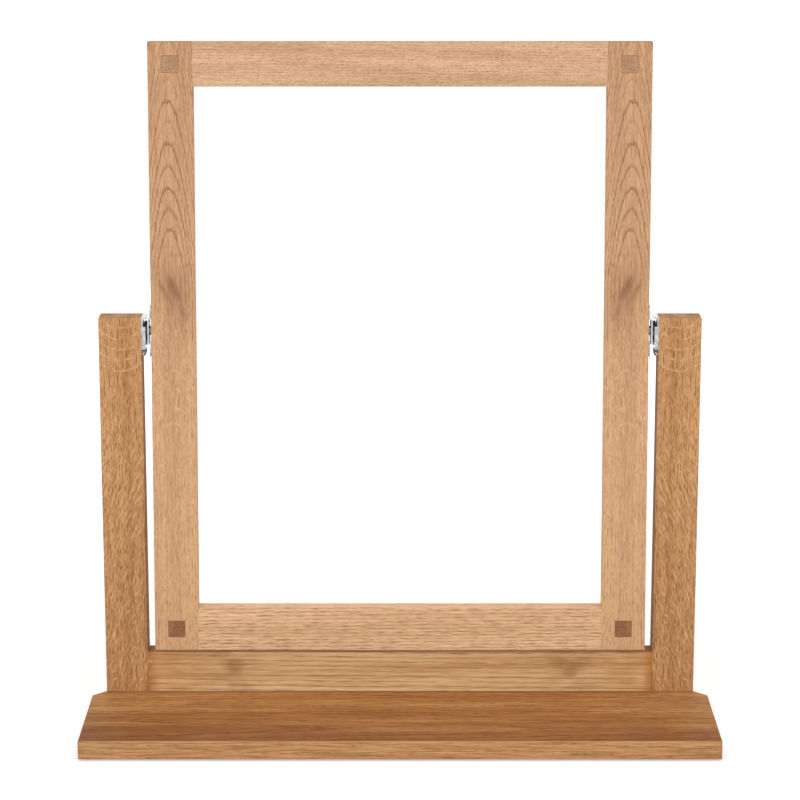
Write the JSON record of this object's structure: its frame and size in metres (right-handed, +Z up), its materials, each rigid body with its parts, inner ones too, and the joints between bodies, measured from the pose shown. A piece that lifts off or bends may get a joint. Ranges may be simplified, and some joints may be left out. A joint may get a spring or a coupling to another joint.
{
  "type": "dressing table mirror",
  "caption": "Rectangular framed mirror on a stand: the pegged oak frame tilts on friction hinges between two posts that rise from a flat base board.",
  "frame": {"origin": "centre of the part's box, on the surface that it stands on", "axes": "+Z up, +Y towards the back, +X to the right as seen from the front"},
  "size_m": [0.6, 0.185, 0.652],
  "materials": {
    "oak": "satin lacquer over plain oak",
    "walnut": "dark end grain, lacquered",
    "beech": "bare turned dowel",
    "plywood": "bare sanded panel",
    "mirror_glass": "silvered float glass",
    "packing": "soft foam sheet",
    "plated_steel": "bright zinc plating",
    "screw_steel": "zinc plated",
    "washer_rubber": "matt black",
    "felt": "pressed brown felt"
  },
  "bodies": {
    "stand": {"back_left_felt_pad": "felt", "back_right_felt_pad": "felt", "base_board": "oak", "base_screws": "screw_steel", "cross_rail": "oak", "front_left_felt_pad": "felt", "front_right_felt_pad": "felt", "left_post": "oak", "left_post_tray": "plated_steel", "left_tray_screws": "screw_steel", "post_dowels": "beech", "right_post": "oak", "right_post_tray": "plated_steel", "right_tray_screws": "screw_steel"},
    "mirror": {"back_panel": "plywood", "back_panel_screws": "screw_steel", "bottom_left_peg": "walnut", "bottom_rail": "oak", "bottom_right_peg": "walnut", "left_bridge_screws": "screw_steel", "left_frame_bridge": "plated_steel", "left_friction_washer": "washer_rubber", "left_lock_nut": "plated_steel", "left_pivot_stud": "plated_steel", "left_spring_washer": "plated_steel", "left_stile": "oak", "left_thrust_washer": "plated_steel", "mirror_glass": "mirror_glass", "packing_sheet": "packing", "right_bridge_screws": "screw_steel", "right_frame_bridge": "plated_steel", "right_friction_washer": "washer_rubber", "right_lock_nut": "plated_steel", "right_pivot_stud": "plated_steel", "right_spring_washer": "plated_steel", "right_stile": "oak", "right_thrust_washer": "plated_steel", "top_left_peg": "walnut", "top_rail": "oak", "top_right_peg": "walnut"}
  },
  "joints": [
    {"name": "mirror_tilt", "type": "hinge", "parent": "stand", "child": "mirror", "pos_m": [0, 0.06348, 0.378], "axis": [1, 0, 0], "range_deg": [-31, 39]}
  ]
}
